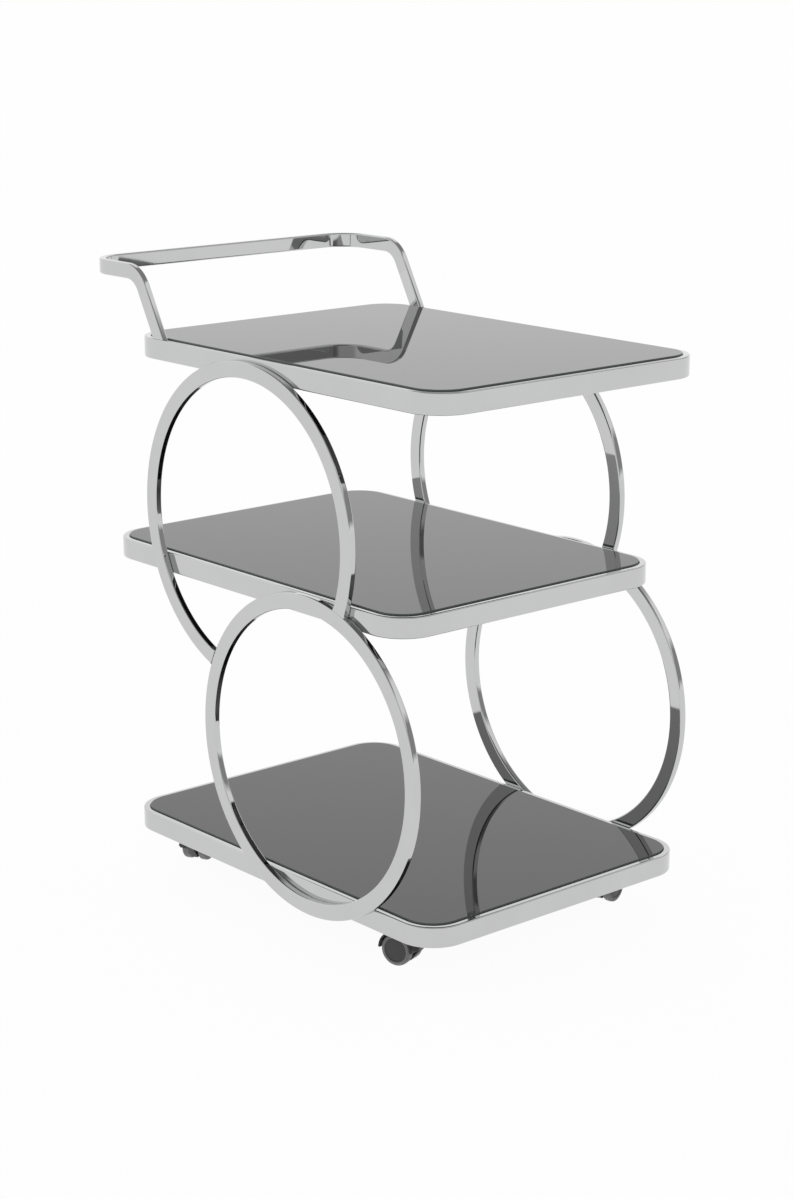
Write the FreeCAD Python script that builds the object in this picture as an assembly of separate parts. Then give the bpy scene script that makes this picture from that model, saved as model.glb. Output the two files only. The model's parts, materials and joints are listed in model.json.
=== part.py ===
import FreeCAD, Part
import math
import os

# Three-tier trolley cart. Millimetres, +Z up, floor at z = 0, origin at the middle of the footprint.
# +X points away from the push handle, so the person who pushes has +Y on the left and -Y on the right.

# ---- driving dimensions ----
HANDLE_END_X = -336.0            # outer face of the handle's crossbar
HANDLE_TOP = 804.0
RING_FACE_Y = 225.0              # outer face of the side rings, half the overall width
RING_DEPTH = 9.0                 # ring tube across the cart
RING_WIDTH = 20.0                # ring tube in the plane of the ring
RING_OUTER_R = 200.5
RING_EDGE_R = 1.8
LOWER_RING = (112.0, 248.0)      # x and z of the ring's centre
UPPER_RING = (-2.0, 511.0)
RING_JOINT_GAP = 0.2             # the coped ends of the upper arc stop this far off the lower ring

FRAME_HEIGHT = 26.0
FRAME_WIDTH = 8.5                # frame tube in plan
FRAME_CORNER_R = 48.0            # outer corner in plan
FRAME_EDGE_R = 1.8
FRAME_HALF_Y = RING_FACE_Y - RING_DEPTH
SHELVES = {                      # first x, last x and height of each frame's top
    "top": (-244.0, 336.0, 716.0),
    "middle": (-303.0, 273.0, 448.0),
    "bottom": (-272.0, 327.0, 86.0),
}

GLASS_THICK = 5.0
GLASS_PROUD = 1.6                # glass face above the frame's top
GLASS_GAP = 0.5                  # all round, between glass and frame
GLASS_EDGE = 0.7                 # ground edge
PAD_R = 7.0
PAD_THICK = 1.5
TAB_THICK = 3.0
TAB_LENGTH = 24.0                # along the frame
TAB_REACH = 22.0                 # from the frame's wall towards the middle
TAB_DROP = 12.0                  # height of the leg welded to the wall
TAB_ALONG = (0.105, 0.42, 0.895) # places along each long side
TAB_ACROSS = 100.0               # either side of the middle of each short side

SCREW_DROP = 17.0                # below the frame's top
SCREW_R = 3.0
SCREW_HOLE_R = 3.3               # clearance hole in the frame
SCREW_TAPPED_R = 3.05            # hole in the ring
SCREW_IN_RING = 6.0
SCREW_HEAD_R = 5.5
SCREW_HEAD = 3.5
SCREW_CROWN_R = 1.4
HEX_ACROSS = 4.0
HEX_DEPTH = 2.0
WASHER_R = 6.5
WASHER_THICK = 1.0

HANDLE_HEIGHT = 19.0             # handle tube in the plane of its legs
HANDLE_DEPTH = 8.4
HANDLE_EDGE_R = 1.8
HANDLE_HALF_Y = FRAME_HALF_Y - 0.2
HANDLE_FOOT_X = -183.0           # middle of each leg where it stands on the top frame
HANDLE_LEAN = 61.0               # degrees above the horizontal
HANDLE_KNEE_R = 35.0             # bend at the top of each leg, on the middle line
HANDLE_TURN_R = 40.0             # bend into the crossbar, on the middle line

FRONT_STEM_X = 234.0
REAR_STEM_X = -222.0
STEM_Y = 152.0
RAIL_WIDTH = 24.0
RAIL_THICK = 4.0
RAIL_CLIP = (11.0, 2.5)          # x and y cut from each corner, to clear the frame's bends
SOCKET_R = 8.5
SOCKET_TOP = 12.0                # height of the socket above the rail
STEM_TOP_R = 5.5
STEM_TOP_GAP = 0.1
STEM_R = 4.0
STEM_LOW = 30.0                  # lower end of the stem above the floor
FLANGE_R = 12.0
FLANGE_THICK = 2.0
RUNNING_GAP = 0.05               # radial clearance of the turning fits

WHEEL_R = 20.0
WHEEL_IN = 5.3                   # inner and outer faces of a wheel from the castor's middle
WHEEL_OUT = 16.8
HUB_R = 15.0
TYRE_SHOULDER = 2.6
TYRE_INSET = 0.4                 # inner face of the tyre from the hub's
SHOULDER_SAG = 0.3               # share of the shoulder at which its two chamfers meet
HUB_BOSS_R = 6.0                 # running boss round the axle
HUB_BACK = 1.2                   # hub's back face from the boss's
HUB_RIM = 1.2                    # width of the raised rim round the cover
COVER_GAP = 0.2                  # between the axle's end and the cover
TRAIL = 22.0                     # axle behind the stem
AXLE_R = 2.5
AXLE_HALF = 15.5
HOOD_HALF = 17.6
HOOD_GAP = 1.3                   # between tyre and hood
HOOD_WALL = 2.5
HOOD_EDGE_R = 1.6
NOSE_LOW = (9.0, 25.0)           # x and z where the nose's slanted underside starts
NOSE_TIP_Z = 36.0                # and where it meets the boss
WEB_HALF = 4.6
WEB_R = 13.0                     # round the axle
WEB_FOOT = (-8.0, 5.5)           # x and z of the web's lowest corner
BOSS_R = 13.0
BOSS_TOP = 51.0
BOSS_TAPER = 8.0                 # growth of the boss's radius over its height
BOSS_HEIGHT = 30.0
NECK_R = 9.0
NECK_GAP = 0.5                   # between the neck and the stem's flange
CASTERS = {                      # stem x, stem y and the direction in which the wheels trail, degrees
    "front_right": (FRONT_STEM_X, -STEM_Y, 197.0),
    "front_left": (FRONT_STEM_X, STEM_Y, 104.0),
    "rear_right": (REAR_STEM_X, -STEM_Y, 118.0),
    "rear_left": (REAR_STEM_X, STEM_Y, 168.0),
}

os.makedirs("parts", exist_ok=True)

X = FreeCAD.Vector(1, 0, 0)
Y = FreeCAD.Vector(0, 1, 0)
Z = FreeCAD.Vector(0, 0, 1)


def at(x, y, z):
    return FreeCAD.Vector(x, y, z)


def save(name, shapes):
    """Write one node, a single solid or a group of separate solids."""
    shape = shapes if not isinstance(shapes, list) else Part.makeCompound(shapes)
    shape.exportStep("parts/" + name + ".step")


def plan_outline(x0, x1, half_y, radius, z):
    """Face of a rounded rectangle lying flat at height z."""
    corners = [
        (x1 - radius, half_y - radius, 0),
        (x0 + radius, half_y - radius, 90),
        (x0 + radius, -half_y + radius, 180),
        (x1 - radius, -half_y + radius, 270),
    ]
    arcs = []
    for cx, cy, start in corners:
        points = []
        for turn in (0, 45, 90):
            angle = math.radians(start + turn)
            points.append(at(cx + radius * math.cos(angle), cy + radius * math.sin(angle), z))
        arcs.append(Part.Arc(*points).toShape())
    edges = []
    for here, after in zip(arcs, arcs[1:] + arcs[:1]):
        edges.append(here)
        edges.append(Part.LineSegment(here.Vertexes[-1].Point, after.Vertexes[0].Point).toShape())
    return Part.Face(Part.Wire(edges))


def tube_section(centre, side, across, width, depth, edge_r):
    """Rounded rectangle, width along the side vector and depth along the across vector."""
    a = width / 2 - edge_r
    b = depth / 2 - edge_r
    edges = []
    corners = [(a, b, 0), (-a, b, 90), (-a, -b, 180), (a, -b, 270)]
    ends = []
    for ca, cb, start in corners:
        points = []
        for turn in (0, 45, 90):
            angle = math.radians(start + turn)
            offset = side * (ca + edge_r * math.cos(angle)) + across * (cb + edge_r * math.sin(angle))
            points.append(centre + offset)
        edges.append(Part.Arc(*points).toShape())
        ends.append((points[0], points[2]))
    for here, after in zip(ends, ends[1:] + ends[:1]):
        edges.append(Part.LineSegment(here[1], after[0]).toShape())
    return Part.Face(Part.Wire(Part.__sortEdges__(edges)))


def bent_tube(section, steps):
    """Carry a section along runs and bends, and join the lengths into one solid."""
    lengths = []
    for step in steps:
        moved = section.copy()
        if step[0] == "run":
            lengths.append(section.extrude(step[1]))
            moved.translate(step[1])
        else:
            lengths.append(section.revolve(step[1], step[2], step[3]))
            moved.rotate(step[1], step[2], step[3])
        section = moved
    return lengths[0].fuse(lengths[1:]).removeSplitter()


def screw_places():
    """Where rings and frames meet: shelf name, ring centre and x of each screw."""
    places = []
    for shelf, ring, offsets in (
        ("top", UPPER_RING, (-40.0, 40.0)),
        ("middle", UPPER_RING, (-172.9,)),
        ("middle", LOWER_RING, (-45.0, 45.0)),
        ("bottom", LOWER_RING, (-65.0, 65.0)),
    ):
        for offset in offsets:
            places.append((shelf, ring, ring[0] + offset, SHELVES[shelf][2] - SCREW_DROP))
    return places


SCREWS = screw_places()


# ---- shelf frames: flat tube bent into a rounded rectangle ----
def shelf_frame(name):
    x0, x1, top = SHELVES[name]
    middle_y = FRAME_HALF_Y - FRAME_WIDTH / 2
    bend = FRAME_CORNER_R - FRAME_WIDTH / 2
    long_run = (x1 - x0) - 2 * FRAME_CORNER_R
    short_run = 2 * (FRAME_HALF_Y - FRAME_CORNER_R)
    start = at(x0 + FRAME_CORNER_R, -middle_y, top - FRAME_HEIGHT / 2)
    section = tube_section(start, Z, Y, FRAME_HEIGHT, FRAME_WIDTH, FRAME_EDGE_R)
    steps = []
    near_x, far_x = x0 + FRAME_CORNER_R, x1 - FRAME_CORNER_R
    side_y = middle_y - bend
    for run, corner in (
        (X * long_run, at(far_x, -side_y, 0)),
        (Y * short_run, at(far_x, side_y, 0)),
        (X * -long_run, at(near_x, side_y, 0)),
        (Y * -short_run, at(near_x, -side_y, 0)),
    ):
        steps.append(("run", run))
        steps.append(("bend", corner, Z, 90))
    frame = bent_tube(section, steps)
    for shelf, ring, x, z in SCREWS:
        if shelf == name:
            for side in (-1, 1):
                start_y = side * (FRAME_HALF_Y - FRAME_WIDTH - 1)
                hole = Part.makeCylinder(SCREW_HOLE_R, FRAME_WIDTH + 2, at(x, start_y, z), Y * side)
                frame = frame.cut(hole)
    return frame


for shelf_name in SHELVES:
    save(shelf_name + "_frame", shelf_frame(shelf_name))


# ---- side rings: flat tube rolled to a circle, with blind tapped holes behind ----
def side_ring(side, centre):
    middle_y = side * (RING_FACE_Y - RING_DEPTH / 2)
    hub = at(centre[0], middle_y, centre[1])
    section_at = hub + X * (RING_OUTER_R - RING_WIDTH / 2)
    section = tube_section(section_at, X, Y, RING_WIDTH, RING_DEPTH, RING_EDGE_R)
    ring = section.revolve(hub, Y, 360)
    for shelf, ring_centre, x, z in SCREWS:
        if ring_centre == centre:
            start = at(x, side * (FRAME_HALF_Y - 1), z)
            ring = ring.cut(Part.makeCylinder(SCREW_TAPPED_R, SCREW_IN_RING + 2, start, Y * side))
    return ring


for side_name, side in (("right", -1), ("left", 1)):
    save(side_name + "_lower_ring", side_ring(side, LOWER_RING))
    reach_y = side * FRAME_HALF_Y - side * 5
    cope_at = at(LOWER_RING[0], reach_y, LOWER_RING[1])
    cope = Part.makeCylinder(RING_OUTER_R + RING_JOINT_GAP, RING_DEPTH + 10, cope_at, Y * side)
    save(side_name + "_upper_ring", side_ring(side, UPPER_RING).cut(cope))


# ---- screws and washers that hold the frames to the rings, driven from inside ----
def frame_screw(side, x, z):
    seat = at(x, side * (FRAME_HALF_Y - FRAME_WIDTH - WASHER_THICK), z)
    shank_length = WASHER_THICK + FRAME_WIDTH + SCREW_IN_RING
    shank = Part.makeCylinder(SCREW_R, shank_length, seat, Y * side)
    head = Part.makeCylinder(SCREW_HEAD_R, SCREW_HEAD, seat - Y * (side * SCREW_HEAD), Y * side)
    crown_y = abs(seat.y) - SCREW_HEAD
    crown = [e for e in head.Edges if abs(e.CenterOfMass.y) < crown_y + 0.1]
    head = head.makeFillet(SCREW_CROWN_R, crown)
    corners = []
    for turn in range(7):
        angle = math.radians(60 * turn)
        corners.append(at(x + HEX_ACROSS / 2 * math.cos(angle), 0, z + HEX_ACROSS / 2 * math.sin(angle)))
    key = Part.Face(Part.makePolygon(corners)).extrude(Y * (side * (HEX_DEPTH + 1)))
    key.translate(Y * (seat.y - side * (SCREW_HEAD + 1)))
    return shank.fuse(head).removeSplitter().cut(key)


def frame_washer(side, x, z):
    seat = at(x, side * (FRAME_HALF_Y - FRAME_WIDTH - WASHER_THICK), z)
    disc = Part.makeCylinder(WASHER_R, WASHER_THICK, seat, Y * side)
    return disc.cut(Part.makeCylinder(SCREW_HOLE_R, WASHER_THICK, seat, Y * side))


screw_solids = []
washer_solids = []
for shelf, ring, x, z in SCREWS:
    for side in (-1, 1):
        screw_solids.append(frame_screw(side, x, z))
        washer_solids.append(frame_washer(side, x, z))
save("ring_screws", screw_solids)
save("ring_washers", washer_solids)


# ---- push handle: two leaning legs, a knee, a level run and a crossbar, from one tube ----
def push_handle():
    lean = math.radians(HANDLE_LEAN)
    up = at(-math.cos(lean), 0, math.sin(lean))
    square = at(math.sin(lean), 0, math.cos(lean))
    level_z = HANDLE_TOP - HANDLE_HEIGHT / 2
    middle_y = HANDLE_HALF_Y - HANDLE_DEPTH / 2
    foot_z = SHELVES["top"][2]
    below = 20.0
    foot = at(HANDLE_FOOT_X, -middle_y, foot_z) - up * below
    knee_tangent = HANDLE_KNEE_R * math.tan(lean / 2)
    rise = (level_z - foot_z) / math.sin(lean)
    leg_run = below + rise - knee_tangent
    knee_x = HANDLE_FOOT_X - rise * math.cos(lean) - knee_tangent
    turn_x = HANDLE_END_X + HANDLE_DEPTH / 2 + HANDLE_TURN_R
    turn_y = middle_y - HANDLE_TURN_R
    knee_hub_z = level_z - HANDLE_KNEE_R
    section = tube_section(foot, square, Y, HANDLE_HEIGHT, HANDLE_DEPTH, HANDLE_EDGE_R)
    handle = bent_tube(section, [
        ("run", up * leg_run),
        ("bend", at(knee_x, 0, knee_hub_z), Y, -HANDLE_LEAN),
        ("run", X * (turn_x - knee_x)),
        ("bend", at(turn_x, -turn_y, 0), Z, -90),
        ("run", Y * (2 * turn_y)),
        ("bend", at(turn_x, turn_y, 0), Z, -90),
        ("run", X * (knee_x - turn_x)),
        ("bend", at(knee_x, 0, knee_hub_z), Y, HANDLE_LEAN),
        ("run", up * -leg_run),
    ])
    under = Part.makeBox(400, 600, 100, at(HANDLE_FOOT_X - 200, -300, foot_z - 100))
    return handle.cut(under)


save("push_handle", push_handle())


# ---- glass shelves on silicone pads and welded tabs ----
def glass_panel(name):
    x0, x1, top = SHELVES[name]
    inset = FRAME_WIDTH + GLASS_GAP
    low = top + GLASS_PROUD - GLASS_THICK
    radius = FRAME_CORNER_R - inset
    face = plan_outline(x0 + inset, x1 - inset, FRAME_HALF_Y - inset, radius, low)
    panel = face.extrude(Z * GLASS_THICK)
    rims = [e for e in panel.Edges if abs(e.Vertexes[0].Z - e.Vertexes[-1].Z) < 0.01]
    return panel.makeChamfer(GLASS_EDGE, rims)


def tab_places(name):
    """Middle of each tab on the wall, and the direction that points inwards."""
    x0, x1, top = SHELVES[name]
    wall_y = FRAME_HALF_Y - FRAME_WIDTH
    places = []
    for side in (-1, 1):
        for share in TAB_ALONG:
            places.append((at(x0 + share * (x1 - x0), side * wall_y, 0), Y * -side))
        places.append((at(x0 + FRAME_WIDTH, side * TAB_ACROSS, 0), X))
        places.append((at(x1 - FRAME_WIDTH, side * TAB_ACROSS, 0), X * -1))
    return places


def tab(wall, inward, top):
    """Angle bracket: a level plate and a leg welded to the frame's inner wall."""
    along = at(-inward.y, inward.x, 0)
    corner = wall - along * (TAB_LENGTH / 2)
    corner.z = top - TAB_THICK
    plate_wire = Part.makePolygon([
        corner,
        corner + inward * TAB_REACH,
        corner + inward * TAB_REACH + along * TAB_LENGTH,
        corner + along * TAB_LENGTH,
        corner,
    ])
    plate = Part.Face(plate_wire).extrude(Z * TAB_THICK)
    leg_wire = Part.makePolygon([
        corner,
        corner + inward * TAB_THICK,
        corner + inward * TAB_THICK + along * TAB_LENGTH,
        corner + along * TAB_LENGTH,
        corner,
    ])
    leg = Part.Face(leg_wire).extrude(Z * (TAB_THICK - TAB_DROP))
    return plate.fuse(leg).removeSplitter()


for shelf_name in SHELVES:
    save(shelf_name + "_glass", glass_panel(shelf_name))
    pad_low = SHELVES[shelf_name][2] + GLASS_PROUD - GLASS_THICK - PAD_THICK
    tabs = []
    pads = []
    for wall, inward in tab_places(shelf_name):
        tabs.append(tab(wall, inward, pad_low))
        pad_at = wall + inward * (TAB_REACH / 2 + TAB_THICK / 2)
        pad_at.z = pad_low
        pads.append(Part.makeCylinder(PAD_R, PAD_THICK, pad_at))
    save(shelf_name + "_glass_tabs", tabs)
    save(shelf_name + "_glass_pads", pads)


# ---- castor rails: flat bars across the bottom frame, with a welded socket for each stem ----
FRAME_UNDER = SHELVES["bottom"][2] - FRAME_HEIGHT
SOCKET_BORE = STEM_TOP_R + STEM_TOP_GAP
for rail_name, rail_x in (("front", FRONT_STEM_X), ("rear", REAR_STEM_X)):
    half_x = RAIL_WIDTH / 2
    half_y = FRAME_HALF_Y - FRAME_WIDTH
    rail_points = []
    for x_sign, y_sign in ((1, 1), (-1, 1), (-1, -1), (1, -1)):
        on_side = at(rail_x + x_sign * half_x, y_sign * (half_y - RAIL_CLIP[1]), FRAME_UNDER)
        on_end = at(rail_x + x_sign * (half_x - RAIL_CLIP[0]), y_sign * half_y, FRAME_UNDER)
        rail_points += [on_side, on_end] if x_sign == y_sign else [on_end, on_side]
    rail = Part.Face(Part.makePolygon(rail_points + rail_points[:1])).extrude(Z * RAIL_THICK)
    for side in (-1, 1):
        hole_at = at(rail_x, side * STEM_Y, FRAME_UNDER)
        rail = rail.cut(Part.makeCylinder(SOCKET_BORE, RAIL_THICK, hole_at))
    save(rail_name + "_caster_rail", rail)

sockets = []
for stem_x, stem_y, trail_way in CASTERS.values():
    socket_at = at(stem_x, stem_y, FRAME_UNDER + RAIL_THICK)
    socket = Part.makeCylinder(SOCKET_R, SOCKET_TOP, socket_at)
    sockets.append(socket.cut(Part.makeCylinder(SOCKET_BORE, SOCKET_TOP, socket_at)))
save("caster_sockets", sockets)


# ---- twin-wheel castors, drawn with the stem on Z and the wheels trailing along -X ----
AXLE_AT = at(-TRAIL, 0, WHEEL_R)
FLANGE_LOW = FRAME_UNDER - FLANGE_THICK


def turned(profile):
    """Solid of revolution about the axle from points (radius, distance along the axle)."""
    points = [at(-TRAIL + radius, along, WHEEL_R) for radius, along in profile]
    face = Part.Face(Part.makePolygon(points + points[:1]))
    return face.revolve(AXLE_AT, Y, 360)


def caster_stem():
    pin = Part.makeCylinder(STEM_R, FLANGE_LOW - STEM_LOW, at(0, 0, STEM_LOW))
    pin = pin.makeChamfer(0.8, [e for e in pin.Edges if abs(e.CenterOfMass.z - STEM_LOW) < 0.01])
    flange = Part.makeCylinder(FLANGE_R, FLANGE_THICK, at(0, 0, FLANGE_LOW))
    shank_top = RAIL_THICK + SOCKET_TOP
    shank = Part.makeCylinder(STEM_TOP_R, shank_top, at(0, 0, FRAME_UNDER))
    shank_rim = [e for e in shank.Edges if e.CenterOfMass.z > FRAME_UNDER + shank_top - 0.01]
    shank = shank.makeChamfer(1.0, shank_rim)
    return pin.fuse([flange, shank]).removeSplitter()


def slab(points, half):
    """Plate of the given half width, from points (x, z) in the castor's middle plane."""
    corners = [at(x, -half, z) for x, z in points]
    return Part.Face(Part.makePolygon(corners + corners[:1])).extrude(Y * (2 * half))


def caster_hood():
    """Moulded body: a middle web, a boss round the stem and a canopy over both wheels."""
    canopy_r = WHEEL_R + HOOD_GAP + HOOD_WALL
    canopy_top = WHEEL_R + canopy_r
    canopy = Part.makeCylinder(canopy_r, 2 * HOOD_HALF, AXLE_AT - Y * HOOD_HALF, Y)
    canopy = canopy.makeFillet(HOOD_EDGE_R, [e for e in canopy.Edges if len(e.Vertexes) == 1])
    lower_half = Part.makeBox(4 * canopy_r, 4 * canopy_r, canopy_r * 2, at(0, 0, -canopy_r * 2))
    lower_half.translate(AXLE_AT - X * (2 * canopy_r) - Y * (2 * canopy_r))
    canopy = canopy.cut(lower_half)
    nose = slab([
        (-TRAIL, WHEEL_R),
        NOSE_LOW,
        (BOSS_R, NOSE_TIP_Z),
        (BOSS_R, BOSS_TOP),
        (-TRAIL, canopy_top),
    ], HOOD_HALF)
    taper_at = at(0, 0, BOSS_TOP - BOSS_HEIGHT)
    taper = Part.makeCone(BOSS_R + BOSS_TAPER, BOSS_R, BOSS_HEIGHT, taper_at)
    behind_stem = Part.makeBox(3 * TRAIL, 2 * HOOD_HALF, 2 * BOSS_TOP)
    behind_stem.translate(at(-3 * TRAIL - STEM_R, -HOOD_HALF, 0))
    nose = nose.common(taper.fuse(behind_stem))
    hood = canopy.fuse(nose)
    for side in (-1, 1):
        well_at = AXLE_AT + Y * (side * WEB_HALF)
        hood = hood.cut(Part.makeCylinder(WHEEL_R + HOOD_GAP, 2 * HOOD_HALF, well_at, Y * side))
    web = slab([
        (-TRAIL, WHEEL_R - WEB_R),
        WEB_FOOT,
        NOSE_LOW,
        (NOSE_LOW[0], BOSS_TOP - STEM_R),
        (-TRAIL, canopy_top - 1),
    ], WEB_HALF)
    web = web.fuse(Part.makeCylinder(WEB_R, 2 * WEB_HALF, AXLE_AT - Y * WEB_HALF, Y))
    neck_low = BOSS_TOP - BOSS_R
    neck = Part.makeCylinder(NECK_R, FLANGE_LOW - NECK_GAP - neck_low, at(0, 0, neck_low))
    hood = hood.fuse([web, neck]).removeSplitter()
    hood = hood.cut(Part.makeCylinder(STEM_R + RUNNING_GAP, BOSS_TOP, at(0, 0, STEM_LOW - NECK_GAP)))
    return hood.cut(Part.makeCylinder(AXLE_R, 4 * WEB_HALF, AXLE_AT - Y * (2 * WEB_HALF), Y))


def caster_axle():
    axle = Part.makeCylinder(AXLE_R, 2 * AXLE_HALF, AXLE_AT - Y * AXLE_HALF, Y)
    return axle.makeChamfer(0.5, [e for e in axle.Edges if len(e.Vertexes) == 1])


def wheel_tyre(side):
    shoulder = TYRE_SHOULDER
    sag = TYRE_SHOULDER * SHOULDER_SAG
    inner = WHEEL_IN + TYRE_INSET
    return turned([
        (HUB_R, side * inner),
        (WHEEL_R - shoulder, side * inner),
        (WHEEL_R - sag, side * (inner + sag)),
        (WHEEL_R, side * (inner + shoulder)),
        (WHEEL_R, side * (WHEEL_OUT - shoulder)),
        (WHEEL_R - sag, side * (WHEEL_OUT - sag)),
        (WHEEL_R - shoulder, side * WHEEL_OUT),
        (HUB_R, side * WHEEL_OUT),
    ])


def wheel_hub(side):
    """Moulded centre: running bore from the inner face, closed by a shallow domed cover."""
    bore = AXLE_R + RUNNING_GAP
    cover = AXLE_HALF + COVER_GAP
    back = WHEEL_IN + HUB_BACK
    rim = WHEEL_OUT + 0.2
    return turned([
        (0, side * cover),
        (bore, side * cover),
        (bore, side * WHEEL_IN),
        (HUB_BOSS_R, side * WHEEL_IN),
        (HUB_BOSS_R, side * back),
        (HUB_R, side * back),
        (HUB_R, side * rim),
        (HUB_R - HUB_RIM, side * rim),
        (HUB_R - 1.5 * HUB_RIM, side * (rim - 0.7)),
        (HUB_R - 4.0, side * (rim - 0.4)),
        (0, side * (rim + 0.2)),
    ])


for caster_name, (stem_x, stem_y, trail_way) in CASTERS.items():
    pieces = {
        "stem": caster_stem(),
        "hood": caster_hood(),
        "axle": caster_axle(),
        "outer_tyre": wheel_tyre(-1),
        "outer_hub": wheel_hub(-1),
        "inner_tyre": wheel_tyre(1),
        "inner_hub": wheel_hub(1),
    }
    for piece_name, piece in pieces.items():
        piece.rotate(at(0, 0, 0), Z, trail_way - 180)
        piece.translate(at(stem_x, stem_y, 0))
        save(caster_name + "_" + piece_name, piece)
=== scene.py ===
import json
import math

import bmesh
import bpy
from mathutils import Matrix, Vector


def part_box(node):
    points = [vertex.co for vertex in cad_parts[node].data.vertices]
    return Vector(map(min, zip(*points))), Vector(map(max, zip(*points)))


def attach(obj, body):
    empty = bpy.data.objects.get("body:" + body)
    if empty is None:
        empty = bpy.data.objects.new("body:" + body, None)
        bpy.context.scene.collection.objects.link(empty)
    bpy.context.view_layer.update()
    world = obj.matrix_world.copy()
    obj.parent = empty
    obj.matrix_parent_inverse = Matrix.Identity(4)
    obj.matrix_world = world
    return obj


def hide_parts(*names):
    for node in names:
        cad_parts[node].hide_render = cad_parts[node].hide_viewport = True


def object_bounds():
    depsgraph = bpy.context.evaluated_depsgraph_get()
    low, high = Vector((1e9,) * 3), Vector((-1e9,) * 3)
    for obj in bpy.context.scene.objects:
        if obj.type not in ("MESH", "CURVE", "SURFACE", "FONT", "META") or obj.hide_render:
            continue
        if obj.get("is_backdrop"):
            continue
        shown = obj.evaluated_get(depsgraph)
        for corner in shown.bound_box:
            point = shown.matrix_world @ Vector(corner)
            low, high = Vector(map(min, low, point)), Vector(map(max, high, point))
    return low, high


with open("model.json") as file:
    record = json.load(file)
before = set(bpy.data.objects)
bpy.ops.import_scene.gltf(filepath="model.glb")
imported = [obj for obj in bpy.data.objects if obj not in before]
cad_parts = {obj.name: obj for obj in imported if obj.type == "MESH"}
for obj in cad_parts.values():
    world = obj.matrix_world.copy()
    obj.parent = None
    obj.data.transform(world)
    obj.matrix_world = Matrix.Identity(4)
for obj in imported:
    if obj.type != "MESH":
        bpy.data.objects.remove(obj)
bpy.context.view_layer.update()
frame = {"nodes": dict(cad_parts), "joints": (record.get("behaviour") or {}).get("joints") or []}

MERGE = 0.000002         # points closer than this are one
X_AXIS = Vector((1, 0, 0))
Y_AXIS = Vector((0, 1, 0))
Z_AXIS = Vector((0, 0, 1))


# ---- Shelf frames -------------------------------------------------------------------------
# Each is one flat steel tube, 26 x 8.5 mm, bent to a rounded rectangle, butt welded, ground
# flush and chrome plated to a mirror.
FRAME_TALL = 0.026
FRAME_THICK = 0.0085
FRAME_CORNER = 0.048     # outer corner in plan
FRAME_EDGE = 0.0018
EDGE_STEPS = 5
GUARD = 0.0004           # narrow strip beside each rounded edge, which keeps the flats flat
END_STRIP = 0.0015       # short length at each end of a straight run, for the same reason
BEND_STEPS = 24


class Tone:
    """One output among a finish's nodes. Arithmetic on it adds Math nodes."""

    def __init__(self, tree, output=None):
        self.tree = tree
        self.output = output

    def node(self, kind, settings=None, sockets=None, output=0):
        made = self.tree.nodes.new(kind)
        for name, value in (settings or {}).items():
            if name == "stops":
                for stop, (place, shade) in zip(made.color_ramp.elements, value):
                    stop.position = place
                    stop.color = (shade, shade, shade, 1)
            else:
                setattr(made, name, value)
        for name, value in (sockets or {}).items():
            if isinstance(value, Tone):
                self.tree.links.new(value.output, made.inputs[name])
            else:
                made.inputs[name].default_value = value
        return Tone(self.tree, made.outputs[output] if made.outputs else None)

    def maths(self, operation, *values):
        return self.node("ShaderNodeMath", {"operation": operation}, dict(enumerate(values)))

    def __add__(self, other):
        return self.maths("ADD", self, other)

    def __radd__(self, other):
        return self.maths("ADD", other, self)

    def __sub__(self, other):
        return self.maths("SUBTRACT", self, other)

    def __rsub__(self, other):
        return self.maths("SUBTRACT", other, self)

    def __mul__(self, other):
        return self.maths("MULTIPLY", self, other)

    def __rmul__(self, other):
        return self.maths("MULTIPLY", other, self)

    def place(self, stretch=(1, 1, 1)):
        """Position on the cart in metres, stretched along the axes."""
        where = self.node("ShaderNodeTexCoord", output="Object")
        return self.node("ShaderNodeMapping", None, {"Vector": where, "Scale": stretch})

    def noise(self, scale, detail=2.0, roughness=0.5, stretch=(1, 1, 1)):
        return self.node("ShaderNodeTexNoise", None, {
            "Vector": self.place(stretch), "Scale": scale, "Detail": detail, "Roughness": roughness,
        })

    def part(self, index):
        """One of the three components of a vector."""
        return self.node("ShaderNodeSeparateXYZ", None, {0: self}, index)

    def ramp(self, value, low, high):
        """0 below low, 1 above high."""
        return self.node("ShaderNodeValToRGB", {"stops": [(low, 0.0), (high, 1.0)]}, {"Fac": value})

    def blend(self, share, first, second):
        """From the first colour to the second."""
        return self.node("ShaderNodeMix", {"data_type": "RGBA"}, {0: share, 6: first, 7: second}, 2)

    def bump(self, height, depth, under=None):
        """Relief of the given depth in metres, on top of any relief under it."""
        wanted = {"Height": height, "Distance": depth}
        if under is not None:
            wanted["Normal"] = under
        return self.node("ShaderNodeBump", None, wanted)


def new_finish(name):
    finish = bpy.data.materials.new(name)
    finish.use_nodes = True
    finish.node_tree.nodes.clear()
    return finish, Tone(finish.node_tree)


def lay_on(tone, sockets):
    """Close a finish with its surface."""
    surface = tone.node("ShaderNodeBsdfPrincipled", None, sockets)
    tone.node("ShaderNodeOutputMaterial", None, {"Surface": surface})


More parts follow.
